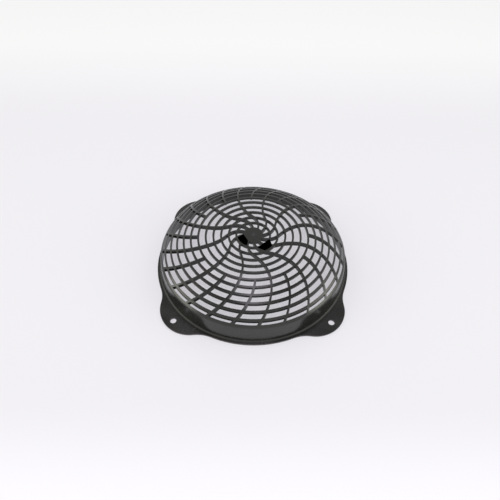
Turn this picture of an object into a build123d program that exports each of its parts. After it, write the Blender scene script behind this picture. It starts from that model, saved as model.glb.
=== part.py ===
from build123d import *
import os
from math import asin, cos, degrees, hypot, radians, sin, sqrt, tan

# A domed fan guard moulded in one piece. The origin is on the underside of the mounting flange,
# on the fan's axis. +Z points away from the fan, out of the dome, and the screw holes lie on the
# diagonals of X and Y.

# Mounting flange, a flat round plate
flange_radius = 100.0
flange_thickness = 2.0

# Screw holes, one in each lobed ear, set in from the flange's sides along both X and Y
hole_set_in = 24.5
hole_diameter = 6.0

# Ears, blended into the flange by hollow curves
ear_radius = 30.7
ear_beyond_hole = 8.0
ear_blend_radius = 32.5

# Skirt, the drafted wall between the flange and the dome
skirt_set_back = 3.0
skirt_draft_angle = 7.0
skirt_wall = 2.0
skirt_foot_bevel = 1.0
shoulder_round = 3.0

# Dome section: a flat crown that turns down in one arc, which reaches in from the skirt's foot
crown_height = 42.2
dome_arc_reach = 53.0
dome_arc_radius = 70.0

# Ring bars, evenly pitched along the dome's section from the first ring to the skirt
ring_count = 11
first_ring_radius = 16.8
ring_width = 2.0
ring_depth = 2.6

# Spiral bars: each leaves the disc on a tight arc and turns over to a wide one that runs to the rim
spiral_count = 12
spiral_width = 2.0
spiral_depth = 4.0
tight_arc_radius = 16.75
wide_arc_radius = 46.1
turnover_radius = 25.9
turnover_angle = 31.5
turnover_heading = 48.3
rings_inside_short_bars = 6

# Centre disc with the shallow mark of the moulding gate
disc_radius = 9.9
gate_mark_radius = 1.6
gate_mark_depth = 0.3

# Sizes that follow from the ones above
skirt_foot_radius = flange_radius - skirt_set_back
crown_flat_radius = skirt_foot_radius - dome_arc_reach
hole_spacing = 2 * (flange_radius - hole_set_in)
ear_reach = hole_spacing / sqrt(2) + ear_beyond_hole - ear_radius
same_place = 0.01


def under_dome(drop):
    """Half section of all that lies under the dome's surface, lowered by a drop."""
    top = crown_height - drop
    turn = asin(dome_arc_reach / dome_arc_radius)
    arc_centre = (crown_flat_radius, top - dome_arc_radius)
    edge = (skirt_foot_radius, arc_centre[1] + dome_arc_radius * cos(turn))
    outline = [
        Line((0, 0), (0, top)),
        Line((0, top), (crown_flat_radius, top)),
        CenterArc(arc_centre, dome_arc_radius, 90, -degrees(turn)),
        Line(edge, (skirt_foot_radius, 0)),
        Line((skirt_foot_radius, 0), (0, 0)),
    ]
    return make_face(outline)


def inside_skirt(inset):
    """Half section of all that lies inside the drafted wall, moved in by an inset."""
    foot = skirt_foot_radius - inset
    lean = crown_height * tan(radians(skirt_draft_angle))
    return make_face(Polyline((0, 0), (foot, 0), (foot - lean, crown_height), (0, crown_height), close=True))


def shoulder_radius(inset):
    """Radius at which the dome meets the drafted wall, moved in by an inset."""
    corners = (under_dome(0) & inside_skirt(inset)).vertices().sort_by(Axis.X)
    return corners[-2].X


def radius_along_dome(length):
    """Radius of the dome's surface at a length measured along its section."""
    if length < crown_flat_radius:
        return length
    return crown_flat_radius + dome_arc_radius * sin((length - crown_flat_radius) / dome_arc_radius)


def dome_length(radius):
    """Length along the dome's section from the axis to a radius on its arc."""
    return crown_flat_radius + dome_arc_radius * asin((radius - crown_flat_radius) / dome_arc_radius)


ring_pitch = (dome_length(shoulder_radius(0)) - first_ring_radius) / ring_count
ring_radii = [radius_along_dome(first_ring_radius + ring_pitch * k) for k in range(ring_count)]


def turned(half_section):
    """Solid turned from a half section, whose X is the radius and whose Y is the height."""
    return revolve(Plane.XZ * half_section, Axis.Z)


def flange_plate():
    """Round plate with four blended ears, the mouth and the screw holes."""
    outline = Circle(flange_radius)
    for corner in PolarLocations(ear_reach, 4, 45):
        outline += corner * Circle(ear_radius)
    hollows = [v for v in outline.vertices() if abs(hypot(v.X, v.Y) - flange_radius) < same_place]
    outline = fillet(hollows, ear_blend_radius)
    outline -= Circle(skirt_foot_radius - skirt_wall)
    outline -= GridLocations(hole_spacing, hole_spacing, 2, 2) * Circle(hole_diameter / 2)
    return extrude(outline, flange_thickness)


def skirt():
    """Drafted wall with a rounded shoulder and a small bevel where it meets the flange."""
    cover = under_dome(0) & inside_skirt(0)
    cover = fillet(cover.vertices().sort_by(Axis.X)[-2], shoulder_round)
    foot_reach = skirt_foot_radius + skirt_set_back / 2
    foot = Pos(foot_reach / 2, flange_thickness / 2) * Rectangle(foot_reach, flange_thickness)
    section = cover + foot - inside_skirt(skirt_wall)
    on_flange = [v for v in section.vertices() if abs(v.Y - flange_thickness) < same_place]
    corner = min(on_flange, key=lambda v: abs(v.X - skirt_foot_radius))
    return turned(chamfer(corner, skirt_foot_bevel))


def ring_plan():
    """Plan of the concentric ring bars."""
    half = ring_width / 2
    return Sketch() + [Circle(r + half) - Circle(r - half) for r in ring_radii]


def arc_strip(centre, radius, start_angle, sweep):
    """Plan of a strip of the spiral's width along an arc."""
    half = spiral_width / 2
    inner = CenterArc(centre, radius - half, start_angle, sweep)
    outer = CenterArc(centre, radius + half, start_angle, sweep)
    ends = [Line(inner @ t, outer @ t) for t in (0, 1)]
    return make_face([inner, outer, *ends])


def spiral_plan():
    """Plan of the disc, the long bars that leave it and the short ones between them."""
    quarter_turn = 90
    half_turn = 180
    heading = turnover_angle + turnover_heading
    turnover = Vector(turnover_radius, 0).rotate(Axis.Z, turnover_angle)
    aside = Vector(1, 0).rotate(Axis.Z, heading - quarter_turn)
    wide_centre = turnover + aside * wide_arc_radius
    tight_centre = turnover - aside * tight_arc_radius
    wide = arc_strip(wide_centre, wide_arc_radius, heading + quarter_turn, -half_turn)
    tight = arc_strip(tight_centre, tight_arc_radius, heading - quarter_turn, -quarter_turn)
    long_bar = wide + tight
    short_bar = wide - Circle(ring_radii[rings_inside_short_bars - 1])
    step = 360 / spiral_count
    bars = [Rot(0, 0, step * k) * long_bar for k in range(spiral_count)]
    bars += [Rot(0, 0, step * (k + 0.5)) * short_bar for k in range(spiral_count)]
    return (Sketch() + [Circle(disc_radius), *bars]) & Circle(shoulder_radius(skirt_wall / 2))


def grille():
    """Bars with upright walls, cut from two layers of the dome so that the spirals are deeper."""
    upper_layer = turned(under_dome(0) - under_dome(ring_depth))
    lower_layer = turned(under_dome(ring_depth) - under_dome(spiral_depth))
    spirals = spiral_plan()
    upper = extrude(ring_plan() + spirals, crown_height) & upper_layer
    lower = extrude(spirals, crown_height) & lower_layer
    return upper + lower


def gate_mark():
    """Shallow round mark that the moulding gate leaves at the centre of the disc."""
    return Pos(0, 0, crown_height - gate_mark_depth) * extrude(Circle(gate_mark_radius), gate_mark_depth)


fan_guard = flange_plate() + skirt() + grille() - gate_mark()
fan_guard.label = "fan_guard"

os.makedirs("parts", exist_ok=True)
export_step(fan_guard, "parts/fan_guard.step")
print("solids", len(fan_guard.solids()), "volume", round(fan_guard.volume))
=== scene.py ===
import bpy
import math
from mathutils import Matrix, Vector


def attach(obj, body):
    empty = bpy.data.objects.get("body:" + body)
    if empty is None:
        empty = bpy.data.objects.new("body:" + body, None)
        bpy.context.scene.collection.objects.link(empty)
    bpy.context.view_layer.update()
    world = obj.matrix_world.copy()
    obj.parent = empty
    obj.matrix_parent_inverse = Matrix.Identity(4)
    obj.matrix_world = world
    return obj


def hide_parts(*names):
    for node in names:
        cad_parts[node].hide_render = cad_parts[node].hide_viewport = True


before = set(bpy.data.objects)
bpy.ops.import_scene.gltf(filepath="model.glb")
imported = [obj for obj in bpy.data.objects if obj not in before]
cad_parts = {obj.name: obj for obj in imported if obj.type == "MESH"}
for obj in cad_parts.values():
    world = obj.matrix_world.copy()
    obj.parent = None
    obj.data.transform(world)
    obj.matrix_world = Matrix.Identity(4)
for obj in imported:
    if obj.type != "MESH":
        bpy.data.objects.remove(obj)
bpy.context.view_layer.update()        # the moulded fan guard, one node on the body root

mm = 0.001
print("stage: frame loaded")


# An output of a shader node, with ordinary maths, so that a pattern reads as a formula
class Wire:
    def __init__(self, socket):
        self.socket = socket

    # Adds a node with its settings first and its inputs after them, and gives its first output
    def node(self, kind, settings=None, **inputs):
        made = self.socket.id_data.nodes.new(kind)
        for name, value in (settings or {}).items():
            setattr(made, name, value)
        for name, value in inputs.items():
            plug(made, name.replace("_", " "), value)
        return Wire(next(socket for socket in made.outputs if socket.enabled))

    # Another output of the same node
    def other(self, name):
        return Wire(self.socket.node.outputs[name])

    # Links values to the node's inputs in their order, where several have one name
    def fed(self, *values, first=0):
        for slot, value in zip(self.socket.node.inputs[first:], values):
            connect(slot, value)
        return self

    def math(self, operation, *values):
        return self.node("ShaderNodeMath", {"operation": operation}).fed(*values)

    def __add__(self, other):
        return self.math("ADD", self, other)

    def __sub__(self, other):
        return self.math("SUBTRACT", self, other)

    def __rsub__(self, other):
        return self.math("SUBTRACT", other, self)

    def __mul__(self, other):
        return self.math("MULTIPLY", self, other)

    def __truediv__(self, other):
        return self.math("DIVIDE", self, other)

    def __pow__(self, other):
        return self.math("POWER", self, other)

    __radd__ = __add__
    __rmul__ = __mul__


def connect(slot, value):
    if isinstance(value, Wire):
        slot.id_data.links.new(value.socket, slot)
    else:
        slot.default_value = value


def plug(made, name, value):
    connect(next(socket for socket in made.inputs if socket.name == name and socket.enabled), value)


def newMaterial(name):
    material = bpy.data.materials.new(name)
    material.use_nodes = True
    nodes = material.node_tree.nodes
    shader = next(node for node in nodes if node.type == "BSDF_PRINCIPLED")
    place = Wire(nodes.new("ShaderNodeTexCoord").outputs["Object"])
    return material, shader, place


# Where a point lies along each axis, in millimetres
def millimetres(place):
    split = place.node("ShaderNodeSeparateXYZ", Vector=place)
    return [split.other(axis) / mm for axis in "XYZ"]


def noise(place, scale, detail, roughness=0.5):
    return place.node("ShaderNodeTexNoise", Vector=place, Scale=scale, Detail=detail, Roughness=roughness)


# 0 below low and 1 above high, with a soft step between them
def rising(value, low, high):
    step = {"interpolation_type": "SMOOTHSTEP"}
    return value.node("ShaderNodeMapRange", step, Value=value, From_Min=low, From_Max=high)


def falling(value, low, high):
    return 1.0 - rising(value, low, high)


# Noise sharpened into patches
def patches(place, low, high, **look):
    return rising(noise(place, **look), low, high)


def blendColour(mask, first, second):
    return mask.node("ShaderNodeMix", {"data_type": "RGBA"}, Factor=mask, A=first, B=second)


# Satin black plastic. Radii and heights on the guard are in millimetres. Noise scales are per metre,
# apart from the flow's, which reads coordinates of its own
plastic = {
    "black": (0.0115, 0.0119, 0.0103, 1),          # a trace of olive
    "worn": (0.0260, 0.0258, 0.0215, 1),           # rubbed and dusty places
    "rimReflection": (0.0560, 0.0400, 0.0385, 1),          # painted reflection of the floor, brownish, on the flange's outer edge
    "footHighlight": (0.0520, 0.0510, 0.0380, 1),       # painted highlight: a thin light line along the fillet at the skirt's foot
    "gateMark": (0.0330, 0.0330, 0.0390, 1),
    "clouds": {"scale": 38.0, "detail": 4.0, "low": 0.38, "high": 0.66},
    "specks": {"scale": 2600.0, "detail": 1.0, "low": 0.66, "high": 0.74},
    "dust": {"scale": 210.0, "detail": 5.0, "roughness": 0.62, "low": 0.50, "high": 0.78},
    "grain": {"scale": 1500.0, "detail": 3.0, "roughness": 0.6},
    "ripple": {"scale": 26.0, "detail": 2.0},
    "flow": {"scale": 3.0, "detail": 2.0},
    "flowSpread": 7.0,                             # how finely the flow marks divide the turn
    "flowDrift": (0.012, 0.01),                    # how fast they change outward and downward
    "cloudWear": 0.45,
    "dustWear": 0.35,
    "speckWear": 0.25,
    "rimRadius": (98.8, 99.8),
    "rimHeight": (1.5, 1.9),
    "rimEven": 0.55,                               # the rest of the rim's painted reflection is patchy, after the dust
    # The foot line is a painted highlight, a thin light line on the fillet at the skirt's foot
    "lineRadius": 98.3,
    "lineWidth": (0.1, 0.28),
    "lineHeight": (2.2, 2.5),
    "lineEven": 0.10,
    "lineCloudy": 0.15,
    "gateRadius": (1.4, 2.2),
    "gateHeight": (40.0, 41.0),
    "gateTint": 0.85,
    "roughness": 0.235,
    "cloudRoughness": 0.08,
    "flowRoughness": 0.05,
    "dustRoughness": 0.05,
    "gateGloss": 0.08,
    "footInner": (96.6, 97.1),                     # the bevel at the skirt's foot is rougher
    "footOuter": (98.0, 98.3),
    "footHeight": (3.1, 3.5),
    "footRoughness": 0.35,
    "rippleHeight": 2.2,                           # times the grain's height, as the next one
    "flowHeight": 0.5,
    "grainHeight": 0.035 * mm,
    "grainStrength": 0.9,
    "ior": 1.53,
}


def mouldedPlastic():
    material, shader, place = newMaterial("satinBlackPlastic")
    x, y, z = millimetres(place)
    radius = (x * x + y * y) ** 0.5
    clouds = patches(place, **plastic["clouds"])
    specks = patches(place, **plastic["specks"])
    dust = patches(place, **plastic["dust"])

    # Flow marks run outward from the gate
    outward, downward = plastic["flowDrift"]
    angle = y.math("ARCTAN2", y, x)
    along = place.node("ShaderNodeCombineXYZ",
                       X=angle * plastic["flowSpread"], Y=radius * outward, Z=z * downward)
    flow = noise(along, **plastic["flow"])

    worn = clouds * plastic["cloudWear"] + dust * plastic["dustWear"] + specks * plastic["speckWear"]
    colour = blendColour(worn, plastic["black"], plastic["worn"])

    # Painted reflection: the flange's outer edge takes the floor's brownish reflection as colour, partly
    # even and partly in dust patches
    rim = rising(radius, *plastic["rimRadius"]) * falling(z, *plastic["rimHeight"])
    paintedRimReflection = rim * (plastic["rimEven"] + dust * (1.0 - plastic["rimEven"]))
    colour = blendColour(paintedRimReflection, colour, plastic["rimReflection"])

    # Painted highlight along the fillet at the skirt's foot, partly even and partly cloudy
    offLine = ((radius - plastic["lineRadius"]) ** 2.0) ** 0.5
    line = falling(offLine, *plastic["lineWidth"]) * falling(z, *plastic["lineHeight"])
    paintedFootHighlight = line * (plastic["lineEven"] + clouds * plastic["lineCloudy"])
    colour = blendColour(paintedFootHighlight, colour, plastic["footHighlight"])

    gate = falling(radius, *plastic["gateRadius"]) * rising(z, *plastic["gateHeight"])
    colour = blendColour(gate * plastic["gateTint"], colour, plastic["gateMark"])
    plug(shader, "Base Color", colour)

    foot = rising(radius, *plastic["footInner"]) * falling(radius, *plastic["footOuter"])
    foot = foot * falling(z, *plastic["footHeight"])
    roughness = plastic["roughness"] + (clouds - 0.5) * plastic["cloudRoughness"]
    roughness = roughness + (flow - 0.5) * plastic["flowRoughness"] + dust * plastic["dustRoughness"]
    roughness = roughness - gate * plastic["gateGloss"] + foot * plastic["footRoughness"]
    plug(shader, "Roughness", roughness)

    height = noise(place, **plastic["grain"]) + flow * plastic["flowHeight"]
    height = height + noise(place, **plastic["ripple"]) * plastic["rippleHeight"]
    bump = place.node("ShaderNodeBump", Height=height,
                      Distance=plastic["grainHeight"], Strength=plastic["grainStrength"])
    plug(shader, "Normal", bump)
    plug(shader, "IOR", plastic["ior"])
    return material


softening = {
    "mergeDistance": 0.02 * mm,
    "flatAngle": 0.4,                              # degrees, as the next two angles
    "sharpAngle": 34.0,
    "smoothAngle": 40.0,
    "edgeRadius": 0.18 * mm,
    "edgeSteps": 2,
    "flatWeight": 100,                             # how strongly broad faces keep their own shading
}


# The guard as it leaves the mould: every sharp edge takes a small radius
def softenedGuard(node):
    piece = bpy.data.objects.new("moulded_guard", node.data.copy())
    bpy.context.scene.collection.objects.link(piece)
    bpy.ops.object.select_all(action="DESELECT")
    piece.select_set(True)
    bpy.context.view_layer.objects.active = piece
    bpy.ops.mesh.customdata_custom_splitnormals_clear()
    bpy.ops.object.mode_set(mode="EDIT")
    bpy.ops.mesh.select_all(action="SELECT")
    bpy.ops.mesh.remove_doubles(threshold=softening["mergeDistance"])
    bpy.ops.mesh.dissolve_limited(angle_limit=math.radians(softening["flatAngle"]))
    bpy.ops.object.mode_set(mode="OBJECT")

    edge = piece.modifiers.new("edgeRadius", "BEVEL")
    edge.width = softening["edgeRadius"]
    edge.segments = softening["edgeSteps"]
    edge.limit_method = "ANGLE"
    edge.angle_limit = math.radians(softening["sharpAngle"])
    edge.use_clamp_overlap = False
    edge.miter_outer = "MITER_ARC"
    bpy.ops.object.modifier_apply(modifier=edge.name)

    bpy.ops.object.shade_smooth_by_angle(angle=math.radians(softening["smoothAngle"]))
    broad = piece.modifiers.new("broadFaces", "WEIGHTED_NORMAL")
    broad.weight = softening["flatWeight"]
    broad.keep_sharp = True
    bpy.ops.object.modifier_apply(modifier=broad.name)
    return piece


guard = softenedGuard(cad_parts["fan_guard"])
guard.data.materials.clear()
guard.data.materials.append(mouldedPlastic())
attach(guard, "root")
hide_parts("fan_guard")
print("stage: guard", len(guard.data.polygons), "faces")


room = {
    "floorSize": 14.0,
    "floorNear": (0.94, 0.925, 0.985, 1),
    "floorFar": (0.95, 0.96, 0.95, 1),
    "farEdge": (230.0, 520.0),                     # millimetres along Y
    "nearEdge": (-235.0, -150.0),
    "floorRoughness": 0.85,
    "floorShade": 0.50,                            # grey of the part that takes light and shadow
    "floorGlow": 0.42,                             # strength of the part that is backdrop
    "edgeGlow": 0.11,                              # added in front and behind
    "skyLow": 0.85,
    "skyHigh": 0.25,
    "skyStep": (0.66, 0.86),                       # heights on a sky of radius 1
}


# Seen directly or in a reflection, the floor is part backdrop, so that its shadows stay pale
def paleFloor():
    bpy.ops.object.select_all(action="DESELECT")
    bpy.ops.mesh.primitive_plane_add(size=room["floorSize"])
    floor = bpy.context.object
    floor.name = "floor"
    material, shader, place = newMaterial("paleFloor")
    y = millimetres(place)[1]
    far = rising(y, *room["farEdge"])
    near = falling(y, *room["nearEdge"])
    pale = blendColour(far, room["floorNear"], room["floorFar"])
    plug(shader, "Base Color", pale)
    plug(shader, "Roughness", room["floorRoughness"])
    plug(shader, "Specular IOR Level", 0.0)

    strength = room["floorGlow"] + (far + near) * room["edgeGlow"]
    shade = place.node("ShaderNodeBsdfDiffuse", Color=(room["floorShade"],) * 3 + (1,))
    glow = place.node("ShaderNodeEmission", Color=pale, Strength=strength)
    both = place.node("ShaderNodeAddShader").fed(shade, glow)
    direct = place.node("ShaderNodeLightPath")
    seen = direct + direct.other("Is Glossy Ray") + direct.other("Is Transmission Ray")
    mask = seen.math("MINIMUM", seen, 1.0)
    mix = place.node("ShaderNodeMixShader", Fac=mask).fed(Wire(shader.outputs[0]), both, first=1)
    plug(material.node_tree.nodes["Material Output"], "Surface", mix)
    floor.data.materials.append(material)


# The room is paler near the horizon than overhead
def softRoom():
    world = bpy.data.worlds.new("softRoom")
    bpy.context.scene.world = world
    world.use_nodes = True
    nodes = world.node_tree.nodes
    direction = Wire(nodes.new("ShaderNodeTexCoord").outputs["Generated"])
    height = direction.node("ShaderNodeSeparateXYZ", Vector=direction).other("Z")
    level = rising(height, *room["skyStep"]) * (room["skyHigh"] - room["skyLow"]) + room["skyLow"]
    plug(nodes["Background"], "Color", (1, 1, 1, 1))
    plug(nodes["Background"], "Strength", level)


lamps = {
    "overhead": {"place": (0.01, -0.14, 1.20), "aim": (0.01, -0.14, 0), "size": (0.36, 1.30),
                 "radiance": 3.2, "colour": (1.0, 0.93, 1.06)},
    "left": {"place": (-1.30, -0.25, 0.42), "aim": (0, 0, 0), "size": (0.90, 0.50),
             "radiance": 3.0, "colour": (1.0, 1.0, 0.87)},
    "right": {"place": (1.30, -0.25, 0.42), "aim": (0, 0, 0), "size": (0.90, 0.50),
              "radiance": 3.0, "colour": (1.0, 1.0, 0.87)},
}


def softLamp(name, place, aim, size, radiance, colour):
    light = bpy.data.lights.new(name, "AREA")
    light.shape = "RECTANGLE"
    light.size, light.size_y = size
    light.color = colour
    light.energy = radiance * math.pi * size[0] * size[1]
    lamp = bpy.data.objects.new(name, light)
    bpy.context.scene.collection.objects.link(lamp)
    lamp.location = place
    lamp.rotation_mode = "QUATERNION"
    lamp.rotation_quaternion = (Vector(aim) - Vector(place)).to_track_quat("-Z", "Y")


paleFloor()
softRoom()
for name, lamp in lamps.items():
    softLamp(name, **lamp)
print("stage: room")


camera = {
    "place": Vector((-3.63, -296.65, 369.18)) * mm,
    "aim": Vector((-2.97, 15.287, 0)) * mm,
    "lens": 31.945,
    "sensorWidth": 36.0,
    "roll": 0.767,                                 # degrees about the line of sight
    "clipStart": 0.01,
}


def fittedCamera():
    lens = bpy.data.cameras.new("camera")
    lens.lens = camera["lens"]
    lens.sensor_width = camera["sensorWidth"]
    lens.clip_start = camera["clipStart"]
    view = bpy.data.objects.new("camera", lens)
    bpy.context.scene.collection.objects.link(view)
    turn = (camera["aim"] - camera["place"]).to_track_quat("-Z", "Y").to_matrix().to_4x4()
    turn = turn @ Matrix.Rotation(math.radians(camera["roll"]), 4, "Z")
    view.matrix_world = Matrix.Translation(camera["place"]) @ turn
    return view


bpy.context.scene.camera = fittedCamera()
bpy.context.scene.view_settings.view_transform = "Standard"
print("stage: camera")
